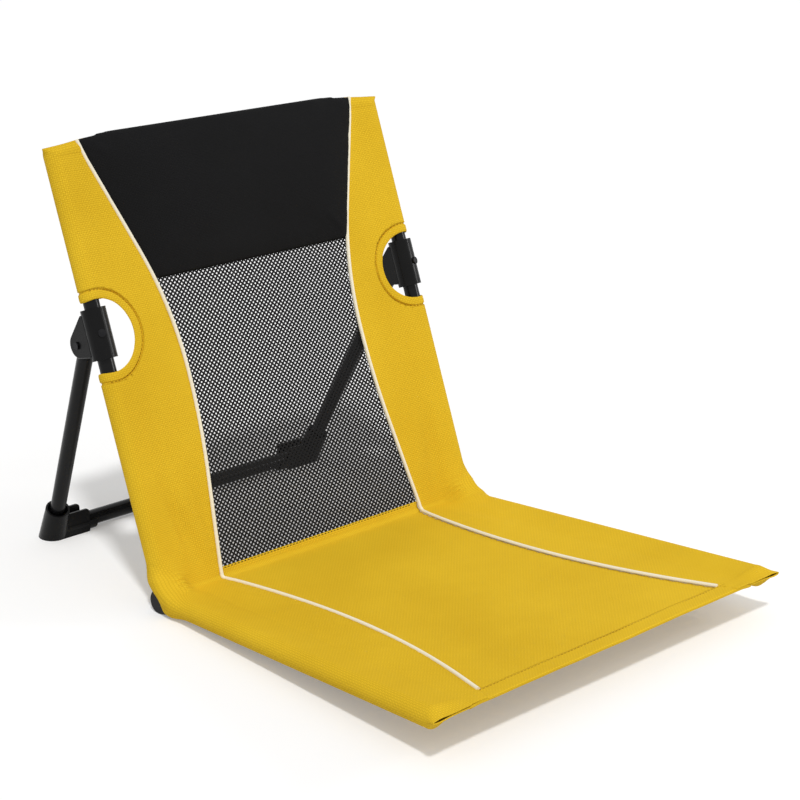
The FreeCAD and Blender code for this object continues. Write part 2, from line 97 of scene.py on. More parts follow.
pivot = Vector(next(j for j in frame["joints"] if j["name"] == "back_fold")["pos_m"])
half_opening = (pi / 2 + recline - seat_tilt) / 2
pivot_along = hinge_offset / tan(half_opening)
corner = pivot - back_up * pivot_along - back_front * hinge_offset
print("corner of seat and back", [round(c, 4) for c in corner])

# %% [markdown]
# A cloth is easiest to lay out flat. Here each point of the cover has a place across, a place along
# (positive up the back, negative out over the seat, nought at the corner) and a lift towards the
# sitter. One function turns that into a point in space and rounds the corner by a radius that the
# caller picks, because the cloth is creased sharply at the piping and bridges widely over the hinge.

# %% Cover point
cloth_front = 4.6 * mm
bend = pi - 2 * half_opening
bend_middle = (back_front + seat_top).normalized()
bend_side = (back_front - bend_middle * cos(bend / 2)) / sin(bend / 2)


def cover_point(x, along, lift, rounding):
    """Point of the cover: x across, along the cloth from the corner, lifted from its plane."""
    reach = (cloth_front + rounding) / tan(half_opening)
    if along >= reach:
        return corner + across * x + back_up * along + back_front * (cloth_front + lift)
    if along <= -reach:
        return corner + across * x - seat_out * along + seat_top * (cloth_front + lift)
    turn = bend / 2 * along / reach
    normal = bend_middle * cos(turn) + bend_side * sin(turn)
    centre = corner + bend_middle * ((cloth_front + rounding) / sin(half_opening))
    return centre + across * x - normal * (rounding - lift)


def ease(value, low, high):
    """Smooth step from 0 at low to 1 at high, which may be the smaller of the two."""
    share = min(1.0, max(0.0, (value - low) / (high - low)))
    return share * share * (3 - 2 * share)


print("bend of the cover", round(bend / radians(1), 1), "degrees")

# %% [markdown]
# Two white-piped seams run from the top of the back to the front of the seat. Each is an arc at
# the waist that goes over into a straight line, so a short formula gives the half width between
# the seams at any place along the cloth. Below and above the waist a seam has its own radius, and
# an angle in degrees at which the arc ends.

# %% Seam lines
back_seam = {"half": 113.5 * mm, "waist": 210 * mm, "low": (737 * mm, 7.8), "high": (380 * mm, 19.5)}
seat_seam = {"half": 122.0 * mm, "waist": 150 * mm, "low": (967 * mm, 8.0), "high": (770 * mm, 16.0)}
seam_gap = 2.0 * mm
seam_merge = 25.0 * mm


def half_between(seam, along):
    radius, degrees = seam["high"] if along > seam["waist"] else seam["low"]
    away = abs(along - seam["waist"])
    full = radians(degrees)
    arc_end = radius * sin(full)
    if away <= arc_end:
        return seam["half"] + radius - sqrt(radius ** 2 - away ** 2)
    return seam["half"] + radius * (1 - cos(full)) + (away - arc_end) * tan(full)


def seam_x(along):
    """Half width between the two piped seams at a place along the cover."""
    share = ease(along, -seam_merge, seam_merge)
    on_back = half_between(back_seam, max(along, 0.0))
    on_seat = half_between(seat_seam, max(-along, 0.0))
    return on_seat + (on_back - on_seat) * share


def tube_x(along):
    """Distance of a tube axis from the middle of the chair."""
    return half_width + max(0.0, -along) * seat_splay


print("seam half width at top, corner and front",
      [round(seam_x(a) / mm, 1) for a in (back_length, 0, -seat_length)])

# %% [markdown]
# Materials are built from nodes. Small helpers keep that readable: one makes a node and sets its
# options, and one either writes a value to each named input or links another node's output to it.

# %% Node helpers
def set_inputs(tree, node, inputs):
    for name, value in inputs.items():
        if isinstance(value, bpy.types.NodeSocket):
            tree.links.new(value, node.inputs[name])
        else:
            node.inputs[name].default_value = value


def add_node(tree, kind, inputs=None, **options):
    made = tree.nodes.new(kind)
    for name, value in options.items():
        setattr(made, name, value)
    set_inputs(tree, made, inputs or {})
    return made


def maths(tree, operation, *operands):
    inputs = dict(enumerate(operands))
    return add_node(tree, "ShaderNodeMath", inputs, operation=operation).outputs[0]


def new_group(name, inputs, outputs):
    group = bpy.data.node_groups.new(name, "ShaderNodeTree")
    for label, kind in inputs:
        group.interface.new_socket(label, in_out="INPUT", socket_type=kind)
    for label, kind in outputs:
        group.interface.new_socket(label, in_out="OUTPUT", socket_type=kind)
    return group, group.nodes.new("NodeGroupInput"), group.nodes.new("NodeGroupOutput")


print("made set_inputs, add_node, maths and new_group")

# %% [markdown]
# Woven cloth is warp threads passing over and under weft threads. The group draws that from a
# flat pattern in metres: each thread is a rounded ridge, and a chequer decides which of the two
# lies on top. The height feeds a bump, and it is also painted into the colour as shade: the
# valleys between the threads come out darker and the crowns paler, and the crossings where the
# second thread lies on top a little paler again.

# %% Weave group
thread_round = 0.6
thread_bow = 0.5
upper_tint = 0.25
weave, weave_in, weave_out = new_group(
    "plain weave", [("Pattern", "NodeSocketVector"), ("Threads per metre", "NodeSocketFloat")],
    [("Height", "NodeSocketFloat"), ("Tint", "NodeSocketFloat")])
scaled = add_node(weave, "ShaderNodeVectorMath", {0: weave_in.outputs[0], 3: weave_in.outputs[1]},
                  operation="SCALE")
split = add_node(weave, "ShaderNodeSeparateXYZ", {0: scaled.outputs[0]})
ridges = []
cells = []
for axis in (0, 1):
    turned = maths(weave, "MULTIPLY", split.outputs[axis], pi)
    ridges.append(maths(weave, "ABSOLUTE", maths(weave, "SINE", turned)))
    cells.append(maths(weave, "FLOOR", split.outputs[axis]))
chequer = maths(weave, "MODULO", maths(weave, "ABSOLUTE", maths(weave, "ADD", *cells)), 2.0)
over = []
for first, second in ((0, 1), (1, 0)):
    bow = maths(weave, "MULTIPLY_ADD", ridges[second], thread_bow, 1 - thread_bow)
    over.append(maths(weave, "MULTIPLY", maths(weave, "POWER", ridges[first], thread_round), bow))
height = add_node(weave, "ShaderNodeMix", {"Factor": chequer, "A": over[0], "B": over[1]}).outputs[0]
# Painted shade: the thread height also darkens the colour in the valleys between the threads.
weave_tone_and_shade = maths(weave, "MULTIPLY_ADD", chequer, upper_tint, height)
set_inputs(weave, weave_out, {"Height": height, "Tint": weave_tone_and_shade})
print("weave nodes", len(weave.nodes))

# %% [markdown]
# Nothing that has been used is one even colour. This group gives a slow mottling, as of sun and
# handling, and a fine fleck, as of fibres or dust, from the place on the object. Cloth, paint and
# plastic all use it with their own scales, and share the function that sets up a surface.

# %% Mottle group
mottle, mottle_in, mottle_out = new_group(
    "mottle", [("Patch scale", "NodeSocketFloat"), ("Fleck scale", "NodeSocketFloat")],
    [("Patch", "NodeSocketFloat"), ("Fleck", "NodeSocketFloat")])
where = add_node(mottle, "ShaderNodeTexCoord").outputs["Object"]
for slot, detail in ((0, 4.0), (1, 2.0)):
    grain = add_node(mottle, "ShaderNodeTexNoise",
                     {"Vector": where, "Scale": mottle_in.outputs[slot], "Detail": detail})
    mottle.links.new(grain.outputs[0], mottle_out.inputs[slot])


def worn_look(tree, patch, fleck):
    """Mottling and fleck at the given scales."""
    scales = {"Patch scale": patch, "Fleck scale": fleck}
    made = add_node(tree, "ShaderNodeGroup", scales, node_tree=mottle)
    return made.outputs["Patch"], made.outputs["Fleck"]


def new_material(name):
    material = bpy.data.materials.new(name)
    material.use_nodes = True
    tree = material.node_tree
    return material, tree, tree.nodes["Principled BSDF"]


def set_surface(tree, shader, share, deep, lit, height, strength, relief, roughness, gloss):
    """Colour from deep to lit by a share, a bump from a height, roughness and gloss."""
    mix = add_node(tree, "ShaderNodeMix", {"Factor": share, "A": (*deep, 1), "B": (*lit, 1)},
                   data_type="RGBA")
    bump = add_node(tree, "ShaderNodeBump", {"Height": height, "Strength": strength, "Distance": relief})
    set_inputs(tree, shader, {"Base Color": mix.outputs["Result"], "Normal": bump.outputs[0],
                              "Roughness": roughness, "Specular IOR Level": gloss})


print("mottle nodes", len(mottle.nodes))

# %% [markdown]
# The cover is a plain-woven polyester, dyed yellow and matt, with hardly any gloss. The headrest is
# the same cloth in black and finer. Both read the flat pattern of their piece, its UV map, which is
# in metres, so the threads run along the cut of the cloth.

# %% Cloth materials
cloth_mottle = 0.55
cloth_tone_and_shade = 0.5
cloth_rough = 0.72
cloth_rough_spread = 0.2
cloth_fuzz = 0.3
cloth_bump = 0.6


def cloth_material(name, lit, deep, threads, relief, gloss):
    material, tree, shader = new_material(name)
    pattern = add_node(tree, "ShaderNodeUVMap", uv_map="cloth").outputs[0]
    inputs = {"Pattern": pattern, "Threads per metre": threads}
    woven = add_node(tree, "ShaderNodeGroup", inputs, node_tree=weave).outputs
    patch, fleck = worn_look(tree, 9.0, 900.0)
    faded = maths(tree, "MULTIPLY", patch, cloth_mottle)
    # Painted shade: the weave's valleys darken the colour share, beside a slow random mottling.
    share = maths(tree, "MULTIPLY_ADD", woven["Tint"], cloth_tone_and_shade, faded)
    raised = maths(tree, "MULTIPLY_ADD", fleck, cloth_fuzz, woven["Height"])
    rough = maths(tree, "MULTIPLY_ADD", fleck, cloth_rough_spread, cloth_rough)
    set_surface(tree, shader, share, deep, lit, raised, cloth_bump, relief, rough, gloss)
    return material


yellow_cloth = cloth_material("yellow_oxford_cloth", lit=(0.85, 0.565, 0.03), deep=(0.50, 0.28, 0.005),
                              threads=500.0, relief=0.5 * mm, gloss=0.06)
black_cloth = cloth_material("black_headrest_cloth", lit=(0.0105, 0.0105, 0.011), deep=(0.003, 0.003, 0.0032),
                             threads=640.0, relief=0.4 * mm, gloss=0.08)
print("cloths", yellow_cloth.name, black_cloth.name)

# %% [markdown]
# The net is a warp-knitted black mesh, the piping a cord in a cream tape, and the seams are sewn
# with a bonded thread: in the yellow of the cloth on the sleeves, and a darker ochre on the hems,
# whose darkness is partly painted shade along the sewn hems. They are narrow, so a fleck of fibres
# and a fine bump are enough on them.

# %% Net, piping and thread materials
fibre_fleck = 0.7
fibre_mottle = 0.3
fibre_bump = 0.7
fibre_gloss = 0.12


def fibre_material(name, lit, deep, grain, relief, roughness):
    material, tree, shader = new_material(name)
    patch, fleck = worn_look(tree, 25.0, grain)
    faded = maths(tree, "MULTIPLY", patch, fibre_mottle)
    share = maths(tree, "MULTIPLY_ADD", fleck, fibre_fleck, faded)
    set_surface(tree, shader, share, deep, lit, fleck, fibre_bump, relief, roughness, fibre_gloss)
    return material


black_net = fibre_material("black_knit_net", lit=(0.011, 0.011, 0.012), deep=(0.004, 0.004, 0.0045),
                           grain=1500.0, relief=0.3 * mm, roughness=0.7)
cream_tape = fibre_material("cream_piping_tape", lit=(0.94, 0.89, 0.74), deep=(0.82, 0.75, 0.56),
                            grain=1100.0, relief=0.3 * mm, roughness=0.75)
yellow_thread = fibre_material("yellow_thread", lit=(0.76, 0.49, 0.024), deep=(0.60, 0.36, 0.012),
                               grain=2500.0, relief=0.1 * mm, roughness=0.6)
# Painted shade: the hem thread is darker than the cloth partly to stand for the shade along the sewn hems.
ochre_thread_and_groove_shade = fibre_material("ochre_thread_and_groove_shade", lit=(0.52, 0.30, 0.011), deep=(0.34, 0.18, 0.006),
                              grain=2500.0, relief=0.1 * mm, roughness=0.6)
print("fibres", black_net.name, cream_tape.name, yellow_thread.name, ochre_thread_and_groove_shade.name)

# %% [markdown]
# The tubes are steel under gloss black paint, with a faint orange peel and duller patches where
# hands have been. The brackets, heels and feet are black moulded plastic with a spark-eroded grain,
# and the pins and rivets are blackened steel that has rubbed bright in places.

# %% Paint, plastic and steel materials
worn_range = (0.35, 0.75)
hard_bump = 0.35


def hard_material(name, lit, deep, patch, grain, relief, rough, gloss, metallic=0.0):
    material, tree, shader = new_material(name)
    patch, fleck = worn_look(tree, patch, grain)
    inputs = dict(enumerate((patch, *worn_range, *rough)))
    rough = add_node(tree, "ShaderNodeMapRange", inputs).outputs[0]
    set_surface(tree, shader, patch, deep, lit, fleck, hard_bump, relief, rough, gloss)
    set_inputs(tree, shader, {"Metallic": metallic})
    return material


black_paint = hard_material("black_tube_paint", lit=(0.007, 0.007, 0.0075), deep=(0.003, 0.003, 0.0032),
                            patch=30.0, grain=700.0, relief=0.02 * mm, rough=(0.2, 0.3), gloss=0.15)
black_plastic = hard_material("black_moulded_plastic", lit=(0.007, 0.007, 0.0072),
                              deep=(0.003, 0.003, 0.0031), patch=40.0, grain=1800.0, relief=0.06 * mm,
                              rough=(0.24, 0.34), gloss=0.12)
dark_steel = hard_material("blackened_steel", lit=(0.035, 0.035, 0.037), deep=(0.012, 0.012, 0.013),
                           patch=120.0, grain=1200.0, relief=0.03 * mm, rough=(0.3, 0.5), gloss=0.3,
                           metallic=1.0)
foam = fibre_material("grey_foam", lit=(0.42, 0.42, 0.41), deep=(0.28, 0.28, 0.27),
                      grain=600.0, relief=0.5 * mm, roughness=0.9)

finishes = {"black_tube": black_paint, "black_plastic": black_plastic, "pin_steel": dark_steel,
            "yellow_cloth": yellow_cloth, "black_cloth": black_cloth, "black_net": black_net,
            "piping": cream_tape, "foam": foam}
for part in frame["record"]["subparts"]:
    mesh = frame["nodes"][part["node"]].data
    mesh.materials.clear()
    mesh.materials.append(finishes[part["material_slot"]])

# %% [markdown]
# Every sheet of the cover starts as a flat bmesh grid. Its UV map is written while it is still
# flat, which is the cut of the cloth, and then each vertex is laid in its place. A Solidify
# modifier gives the cloth its thickness at the end, and is applied, because a cloth that blends
# over a hinge needs its final mesh.

# %% Sheet helpers
cloth_thick = 1.0 * mm


def add_object(name, data):
    made = bpy.data.objects.new(name, data)
    bpy.context.scene.collection.objects.link(made)
    return made


def new_piece(name, bm, material):
    mesh = bpy.data.meshes.new(name)
    bm.to_mesh(mesh)
    bm.free()
    mesh.shade_smooth()
    mesh.materials.append(material)
    return add_object(name, mesh)


def apply_modifiers(piece):
    evaluated = piece.evaluated_get(bpy.context.evaluated_depsgraph_get())
    mesh = bpy.data.meshes.new_from_object(evaluated)
    piece.modifiers.clear()
    piece.data = mesh


def lay_grid(columns, rows, pattern, place):
    """Grid whose vertex in column i and row j has its cut at pattern(i, j) and lies at place(i, j)."""
    bm = bmesh.new()
    bmesh.ops.create_grid(bm, x_segments=columns, y_segments=rows, size=0.5)
    uv = bm.loops.layers.uv.new("cloth")
    index = {v: (round((v.co.x + 0.5) * columns), round((v.co.y + 0.5) * rows)) for v in bm.verts}
    for face in bm.faces:
        for loop in face.loops:
            loop[uv].uv = pattern(*index[loop.vert])
    for vert, (i, j) in index.items():
        vert.co = place(i, j)
    return bm


def face_towards(bm, way):
    """Turns the sheet over if its foremost face looks away from the given way."""
    bm.normal_update()
    foremost = max(bm.faces, key=lambda f: f.calc_center_median().dot(way))
    if foremost.normal.dot(way) < 0:
        bmesh.ops.reverse_faces(bm, faces=bm.faces[:])


def make_sheet(name, bm, material, thickness=cloth_thick):
    """Makes the laid sheet a piece with a thickness behind its face. Also gives its area."""
    area = sum(f.calc_area() for f in bm.faces)
    piece = new_piece(name, bm, material)
    wall = piece.modifiers.new("cloth thickness", "SOLIDIFY")
    wall.thickness = thickness
    wall.offset = -1.0
    apply_modifiers(piece)
    return piece, area


def steps(start, end, spacing):
    count = max(1, round(abs(end - start) / spacing))
    return [start + (end - start) * k / count for k in range(count)]


def stacked(*runs):
    """Rows over several runs in turn, each with a start, an end and a spacing."""
    return [row for run in runs for row in steps(*run)] + [runs[-1][1]]


print("cloth thickness", cloth_thick)

# %% [markdown]
# Each side of the cover is one long strip, from the top of the back over the corner to the front
# of the seat. It is flat beside the piping, rises at a sewn line, goes round the tube and comes
# back behind to the same line, which makes the sleeve. Over the hinge the sleeve is a wider, boxy
# hood. Both sections are drawn as a front ramp, a wrap and a rear ramp, so that one can turn into
# the other.

# %% Sections of the sleeve
sleeve_radius = 9.3 * mm
sleeve_seam = 32.0 * mm
hood_front = 10.4 * mm
hood_rear = -10.9 * mm
hood_side = 12.9 * mm
hood_waist = 11.0 * mm
hood_inner = -12.5 * mm
hood_corner = 4.2 * mm
hood_lean = [(hood_side, 0.5 * mm), (hood_waist + 0.5 * mm, -3.5 * mm)]
ramp_steps = 12


def arc(x, y, radius, start, end, count):
    angles = [start + (end - start) * k / count for k in range(count + 1)]
    return [(x + radius * cos(a), y + radius * sin(a)) for a in angles]


def walk(points, share):
    """Point at a share of the way along a line of points."""
    place = min(1.0, max(0.0, share)) * (len(points) - 1)
    first = min(int(place), len(points) - 2)
    (x0, y0), (x1, y1) = points[first], points[first + 1]
    return x0 + (x1 - x0) * (place - first), y0 + (y1 - y0) * (place - first)


def run_lengths(points):
    """Length of a line of points up to each of them."""
    runs = [0.0]
    for before, after in zip(points, points[1:]):
        runs.append(runs[-1] + dist(before, after))
    return runs


def even(points, count):
    """The same line with its points spread evenly."""
    runs = run_lengths(points)
    spread = []
    for k in range(count + 1):
        at = runs[-1] * k / count
        first = max(i for i in range(len(runs) - 1) if runs[i] <= at)
        spread.append(walk(points[first:first + 2], (at - runs[first]) / (runs[first + 1] - runs[first])))
    return spread


seam_distance = hypot(sleeve_seam, cloth_front)
seam_angle = pi - atan2(cloth_front, sleeve_seam)
touch = acos(sleeve_radius / seam_distance)
front_touch = seam_angle - touch
rear_touch = seam_angle + touch - 2 * pi
flank = sqrt(seam_distance ** 2 - sleeve_radius ** 2)
wrap = sleeve_radius * (front_touch - rear_touch)
sleeve_path = flank + wrap + flank

seam_front = (-sleeve_seam, cloth_front)
seam_rear = (-sleeve_seam, cloth_front - 2 * cloth_thick)
tube_wrap = arc(0, 0, sleeve_radius, front_touch, rear_touch, 48)
tube_lines = ([seam_front, tube_wrap[0]], tube_wrap, [tube_wrap[-1], seam_rear])
hood_ramp = [(hood_inner - (sleeve_seam + hood_inner) * (1 - k / ramp_steps),
              cloth_front + (hood_front - cloth_front) * ease(k / ramp_steps, 0, 1))
             for k in range(ramp_steps + 1)]
hood_box = [hood_ramp[-1]]
hood_box += arc(hood_side - hood_corner, hood_front - hood_corner, hood_corner, pi / 2, 0, 8)
hood_box += hood_lean
hood_box += arc(hood_waist - hood_corner, hood_rear + hood_corner, hood_corner, 0, -pi / 2, 8)
hood_box = even(hood_box + [(hood_inner, hood_rear)], 80)
hood_lines = (even(hood_ramp, 24), hood_box, [hood_box[-1], seam_rear])
path_breaks = (0.0, flank / sleeve_path, 1 - flank / sleeve_path, 1.0)


def section(w, hood):
    """Place across and before the tube axis, at w across the strip from the sewn line."""
    if w <= 0:
        return w - sleeve_seam, cloth_front
    share = w / sleeve_path
    part = 0 if share < path_breaks[1] else 1 if share < path_breaks[2] else 2
    share = (share - path_breaks[part]) / (path_breaks[part + 1] - path_breaks[part])
    x, y = walk(tube_lines[part], share)
    if hood > 0:
        hood_x, hood_y = walk(hood_lines[part], share)
        x += (hood_x - x) * hood
        y += (hood_y - y) * hood
    return x, y


print("sleeve path", round(sleeve_path / mm, 1), "mm, of it round the tube", round(wrap / mm, 1), "mm")

# %% [markdown]
# Cloth that goes round a bend is too long on its inner side, so it gathers into short pleats
# beside the tube, and soft folds run on from there. Between the seams it is taut, with slow waves
# of about a millimetre, and along a sewn line it puckers at each few stitches. Real folds could be
# simulated, but the cover is stretched on its frame, and four small formulas with a fixed noise
# keep it under control.

# %% Folds of the cover
slack_height = 1.1 * mm
drag_height = 1.9 * mm
drag_pitch = 36.0 * mm
drag_middle = 62.0 * mm
drag_spread = 44.0 * mm
drag_on_seat = 0.35
pleat_height = 2.0 * mm
pleat_pitch = 9.0 * mm
pleat_zone = 17.0 * mm
pleat_line = -14.0 * mm
pleat_spread = 10.0 * mm
pucker_height = 0.3 * mm
pucker_sink = 0.55 * mm
pucker_pitch = 11.0 * mm
pucker_reach = 6.0 * mm


def wander(x, y, z):
    """Smooth noise, the same on every run."""
    return noise.noise(Vector((x, y, z)))


def hump(value, middle, spread):
    """1 in the middle, falling off smoothly to both sides."""
    return exp(-((value - middle) / spread) ** 2)


def slack(x, along):
    """Slow waves of a taut cloth."""
    return slack_height * wander(x * 14, along * 9, 3.1)


def drags(side, dx, along):
    """Soft folds up the panel from the corner, where the cloth is drawn round the hinge."""
    near = hump(abs(along), drag_middle, drag_spread) * (1.0 if along > 0 else drag_on_seat)
    swing = 2.2 * wander(dx * 12 + side * 3, along * 8, 9.3)
    slanted = 0.9 * dx - 0.22 * abs(along)
    return drag_height * near * sin(2 * pi * slanted / drag_pitch + swing)


def pleats(dx, along):
    """Short gathers beside the tube at the corner, only ever outwards, clear of the hinge."""
    near = hump(dx, pleat_line, pleat_spread) * hump(along, 0.0, pleat_zone)
    bent = 0.6 * wander(dx * 70, along * 45, 7.7)
    ridge = max(0.0, sin(2 * pi * (along / pleat_pitch + bent)))
    return pleat_height * near * ridge ** 1.5


def pucker(from_seam, along):
    """Small gathers along a sewn line."""
    near = exp(-abs(from_seam) / pucker_reach)
    beat = sin(2 * pi * along / pucker_pitch + 2 * wander(along * 40, 1.7, 0.3))
    return near * (pucker_height * beat - pucker_sink)


print("pleats", round(2 * pleat_zone / pleat_pitch), "at each corner")

# %% [markdown]
# One function lays any place of a strip: w across from the sewn line and a length along. The ends
# of the sleeve are pressed almost shut, which also makes them wider; in front a fine slot is left
# at the outer edge. A hem at either end lies a little higher, and the top edge climbs a little
# towards the headrest. Beside the hinge the sleeve is cut away behind in a bow, which starts at a
# share of its path, gains a little and then closes.

# %% Point of a side strip
hood_full = 12.0 * mm
hood_fade = 44.0 * mm
crease_round = 6.0 * mm
hinge_round = 30.0 * mm
hinge_blend = (-34.0 * mm, -12.0 * mm)
corner_zone = 46.0 * mm
top_zone = 16.0 * mm
top_hem = 9.0 * mm
top_slant = 4.5 * mm
top_shut = 0.86
top_press = 6.0 * mm
front_hem_depth = 18.0 * mm
front_shut = 0.97
front_slot = 0.08
front_press = 16.0 * mm
press_widening = 2.4 * mm
slot_fade = (-12.0 * mm, 4.0 * mm)
hem_rise = 0.6 * mm
hem_step = 0.9 * mm
front_fade = 10.0 * mm
loose_fade = (-14.0 * mm, -26.0 * mm)
drag_fade = (2.0 * mm, 14.0 * mm)
slant_fade = (10.0 * mm, -45.0 * mm)
probe = 0.4 * mm
bow_least = 0.505
back_bow = {"gain": 0.047, "gains": (4 * mm, 30 * mm), "closes": (27 * mm, 46 * mm)}
seat_bow = {"gain": 0.06, "gains": (0.0, 17 * mm), "closes": (15 * mm, 38 * mm)}


def raised_section(w, hood, raised):
    """Section of the strip, raised from its face."""
    dx, before = section(w, hood)
    if raised:
        near, far = section(w - probe, hood), section(w + probe, hood)
        run = dist(near, far)
        dx -= raised * (far[1] - near[1]) / run
        before += raised * (far[0] - near[0]) / run
    return dx, before


def pressed(dx, along):
    """How far a sleeve's end is pressed shut."""
    in_front = front_shut - front_slot * ease(dx, *slot_fade)
    at_top = top_shut * ease(along, back_length - top_press, back_length)
    return at_top + in_front * ease(-along, seat_length - front_press, seat_length)


def hemmed(along):
    """1 on the hems at the ends of a strip."""
    top, front = back_length - top_hem, seat_length - front_hem_depth
    return ease(along, top - hem_step, top) + ease(-along, front - hem_step, front)


def strip_point(side, w, along, raised=0.0):
    """Point of a side strip, raised from its face."""
    axis = tube_x(along)
    dx, before = raised_section(w, ease(abs(along), hood_fade, hood_full), raised)
    if w > 0:
        shut = pressed(dx, along)
        middle = cloth_front - cloth_thick
        before = middle + (before - middle) * (1 - shut)
        dx += press_widening * shut * (1 + dx / sleeve_seam)
    from_seam = axis + dx - seam_x(along)
    on_front = ease(w, flank + front_fade, flank)
    loose = ease(dx, *loose_fade) * ease(w, sleeve_path, flank)
    drawn = drags(side, dx, along) * ease(from_seam, *drag_fade) * ease(w, flank, 0.0)
    lift = before - cloth_front + loose * (slack(side * (axis + dx), along) + drawn)
    lift += on_front * (pucker(from_seam, along) + pleats(dx, along) + hem_rise * hemmed(along))
    rounding = crease_round + (hinge_round - crease_round) * ease(dx, *hinge_blend)
    rise = top_slant * ease(along, back_length - top_zone, back_length) * ease(dx, *slant_fade)
    return cover_point(side * (axis + dx), along + rise, lift, rounding)


def sleeve_end(along):
    """How far round the sleeve's path the cloth goes."""
    bow = back_bow if along > 0 else seat_bow
    share = bow_least + bow["gain"] * ease(abs(along), *bow["gains"])
    return (share + (1 - share) * ease(abs(along), *bow["closes"])) * sleeve_path


print("path at the hinge", round(sleeve_end(0) / mm, 1), "mm")

# %% [markdown]
# The strip is laid row by row on a grid. Rows are closest at the corner, for the pleats, and at
# the two hems. The round cut-out for the leg bracket is made by dropping the faces inside a circle
# and drawing the vertices at its rim onto it. The circle is larger than the cut-out, because the
# hem made next covers its rim.

# %% Side strips
flat_columns = 22
path_columns = 46
strip_overlap = 1.0 * mm
cutout_along = 262.0 * mm
cutout_radius = 36.0 * mm
cutout_margin = 10.5 * mm
front_zone = 24.0 * mm
strip_rows = stacked((-seat_length, front_zone - seat_length, 1.2 * mm),
                     (front_zone - seat_length, -corner_zone, 4 * mm),
                     (-corner_zone, corner_zone, 1.3 * mm),
                     (corner_zone, back_length - top_zone, 3 * mm),
                     (back_length - top_zone, back_length, 1 * mm))


def strip_across(i, along):
    """Where column i of a strip lies across its path."""
    if i <= flat_columns:
        inner = seam_x(along) + strip_overlap - tube_x(along) + sleeve_seam
        return inner * (1 - i / flat_columns)
    return sleeve_end(along) * (i - flat_columns) / path_columns


def cut_round(bm, centre, radius, normal):
    """Cuts a round hole through the sheet, seen along the normal."""
    away = {}
    for vert in bm.verts:
        from_centre = vert.co - centre
        away[vert] = from_centre - normal * from_centre.dot(normal)
    inside = [v for v in bm.verts if away[v].length < radius]
    dropped = [f for f in bm.faces if all(away[v].length < radius for v in f.verts)]
    bmesh.ops.delete(bm, geom=dropped, context="FACES")
    for vert in inside:
        if vert.is_valid:
            vert.co += away[vert].normalized() * (radius - away[vert].length)


strips = {}
for name, side in sides:
    bm = lay_grid(flat_columns + path_columns, len(strip_rows) - 1,
                  lambda i, j: (strip_across(i, strip_rows[j]), strip_rows[j]),
                  lambda i, j: strip_point(side, strip_across(i, strip_rows[j]), strip_rows[j]))
    face_towards(bm, back_front + seat_top)
    cutout = corner + across * side * half_width + back_up * cutout_along
    cut_round(bm, cutout, cutout_radius + cutout_margin, back_front)
    strips[name] = make_sheet("cover_side_" + name, bm, yellow_cloth)
    strip, area = strips[name]
    print(strip.name, "area", round(area, 4), "faces", len(strip.data.polygons))

# %% [markdown]
# The edge of each cut-out is turned in and sewn down, which leaves a raised band a finger's width
# deep. It follows the edge from the rear layer of the sleeve, round the tube, along the half round
# in front and back again. The band is a narrow grid: its columns follow the edge, and its rows go
# outwards over the raised band, down into the sewn groove and flat onto the strip. Each row has a
# depth from the edge and a height above the strip, in millimetres.

# %% Hems of the cut-outs
band_rows = [(0.0, 0.5), (0.7, 1.15), (2.5, 1.4), (4.5, 1.4), (6.5, 1.35), (7.7, 1.2), (8.5, 0.2),
             (8.9, -0.9), (9.5, -0.9), (10.1, 0.0), (11.0, 0.18), (12.6, 0.12)]
band_sewn = 9.2 * mm
band_sharp = radians(35)
band_least = 0.1
band_short = 0.5 * mm
thin_zone = (2.0 * mm, 16.0 * mm)
groove_fade = (26.0 * mm, 18.0 * mm)
rear_steps = 40
rear_short = 0.6 * mm
rear_widening = 5.0 * mm
rear_zone = 8.0 * mm
front_steps = 72


def path_at(dx):
    """How far across the strip's path a place on its front lies."""
    if dx <= -sleeve_seam:
        return dx + sleeve_seam
    if dx <= tube_wrap[0][0]:
        return flank * (dx + sleeve_seam) / (tube_wrap[0][0] + sleeve_seam)
    return flank + sleeve_radius * (front_touch - acos(dx / sleeve_radius))


crown = path_at(0.0)


def cutout_edge():
    """Edge of a cut-out as places across the strip's path and along it."""
    rear_end = sleeve_path - rear_short
    behind = [crown + (rear_end - crown) * k / rear_steps for k in range(rear_steps + 1)]
    wider = [cutout_radius + rear_widening * ease(w, flank + wrap, sleeve_path - rear_zone) for w in behind]
    rise = [sqrt(r ** 2 - section(w, 0.0)[0] ** 2) for w, r in zip(behind, wider)]
    edge = [(w, cutout_along + r) for w, r in zip(behind, rise)][::-1]
    for k in range(1, front_steps):
        angle = pi / 2 + pi * k / front_steps
        w = path_at(cutout_radius * cos(angle))
        edge.append((w, cutout_along + cutout_radius * sin(angle)))
    return edge + [(w, cutout_along - r) for w, r in zip(behind, rise)]


band_edge = cutout_edge()
band_last = len(band_edge) - 1


def band_place(k, depth):
    """Place on the strip at a depth outwards from the cut-out's edge."""
    before, after = band_edge[max(0, k - 1)], band_edge[min(band_last, k + 1)]
    run = dist(before, after)
    w = band_edge[k][0] + depth * (after[1] - before[1]) / run
    return min(w, sleeve_path - band_short), band_edge[k][1] - depth * (after[0] - before[0]) / run


def groove(w):
    """1 where the sewn line may sink into the cloth, 0 over and behind the tube."""
    return ease(w, *groove_fade)


def band_point(side, k, j):
    depth, raised = band_rows[j]
    w, along = band_place(k, depth * mm)
    thinned = band_least + (1 - band_least) * ease(sleeve_path - w, *thin_zone)
    raised *= groove(w) if raised < 0 else thinned
    return strip_point(side, w, along, raised * mm)


